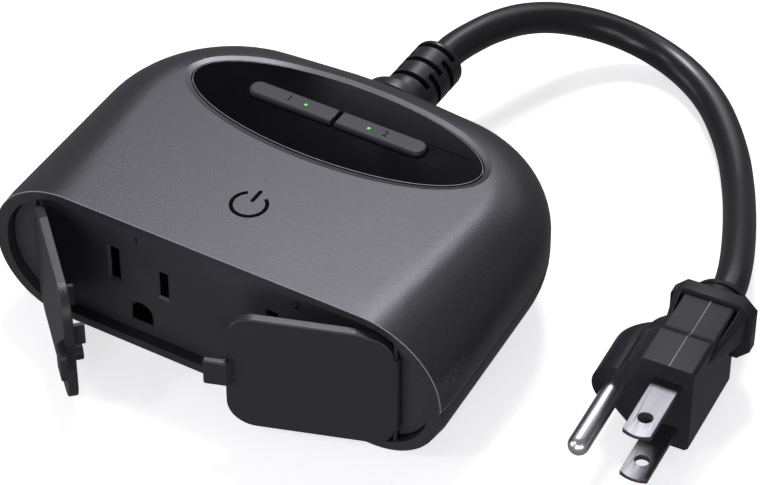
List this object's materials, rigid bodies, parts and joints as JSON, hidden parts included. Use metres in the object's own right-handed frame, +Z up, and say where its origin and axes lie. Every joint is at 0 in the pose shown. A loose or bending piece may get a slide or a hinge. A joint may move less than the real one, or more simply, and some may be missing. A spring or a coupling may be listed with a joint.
{
  "type": "smart plug",
  "caption": "Flat two-outlet smart plug with swinging outlet covers, a two-button control panel and a short mains lead ending in a three-pin plug.",
  "frame": {"origin": "on the flat base, midway along the width and midway between the front rim and the back of the housing", "axes": "+X along the row of outlets, +Y from the outlets towards the lead, +Z up from the flat base"},
  "size_m": [0.1597, 0.1814, 0.0371],
  "materials": {
    "shell": "fine moulded grain with a faint metallic sparkle",
    "shell_lower": "fine moulded grain",
    "plate": "smooth satin",
    "cover": "smooth satin",
    "cover_plug": "soft satin",
    "panel": "high gloss",
    "trim": "satin",
    "button": "satin",
    "indicator": "clear, lit green",
    "seal": "soft matte",
    "lead": "satin extruded jacket",
    "plug": "satin moulded",
    "blade": "bright nickel, fine brushed",
    "pin_steel": "drawn wire",
    "screw": "zinc plated",
    "contact": "stamped",
    "board": "green solder mask",
    "component": "moulded case",
    "switch": "moulded",
    "carrier": "moulded",
    "wire_hot": "insulation",
    "wire_neutral": "insulation",
    "wire_ground": "insulation"
  },
  "bodies": {
    "housing": {"top_shell": "shell", "bottom_shell": "shell_lower", "shell_gasket": "seal", "case_screws": "screw", "outlet_plate": "plate", "contact_carrier": "carrier", "hot_contact_1": "contact", "hot_contact_2": "contact", "neutral_bus": "contact", "ground_bus": "contact", "panel_trim": "trim", "control_panel": "panel", "button_seal": "seal", "switch_board": "board", "tact_switches": "switch", "switch_board_screws": "screw", "main_board": "board", "board_screws": "screw", "relay_1": "component", "relay_2": "component", "transformer": "component", "wifi_module": "component", "capacitors": "component", "fuse": "carrier", "varistor": "component", "terminal_block": "component", "hinge_pin_left": "pin_steel", "hinge_pin_right": "pin_steel", "strain_relief": "lead", "cord_clamp": "carrier", "clamp_screws": "screw", "lead_sheath": "lead", "hot_lead": "wire_hot", "neutral_lead": "wire_neutral", "ground_lead": "wire_ground", "power_cord": "lead", "plug_body": "plug", "plug_collar": "plug", "hot_blade": "blade", "neutral_blade": "blade", "ground_pin": "blade"},
    "button_1": {"button_1": "button", "indicator_1": "indicator", "plunger_1": "switch"},
    "button_2": {"button_2": "button", "indicator_2": "indicator", "plunger_2": "switch"},
    "cover_left": {"cover_left": "cover", "cover_plug_left": "cover_plug"},
    "cover_right": {"cover_right": "cover", "cover_plug_right": "cover_plug"}
  },
  "joints": [
    {"name": "cover_left_hinge", "type": "hinge", "parent": "housing", "child": "cover_left", "pos_m": [-0.0456, -0.03815, 0.018], "axis": [0, 0, -1], "range_deg": [-45, 65]},
    {"name": "cover_right_hinge", "type": "hinge", "parent": "housing", "child": "cover_right", "pos_m": [0.0456, -0.03815, 0.018], "axis": [0, 0, 1], "range_deg": [-19, 91]},
    {"name": "button_1_press", "type": "slide", "parent": "housing", "child": "button_1", "axis": [0, 0, -1], "range_m": [0, 0.0006], "stiffness_N_per_m": 600, "springref_m": -0.001},
    {"name": "button_2_press", "type": "slide", "parent": "housing", "child": "button_2", "axis": [0, 0, -1], "range_m": [0, 0.0006], "stiffness_N_per_m": 600, "springref_m": -0.001}
  ]
}
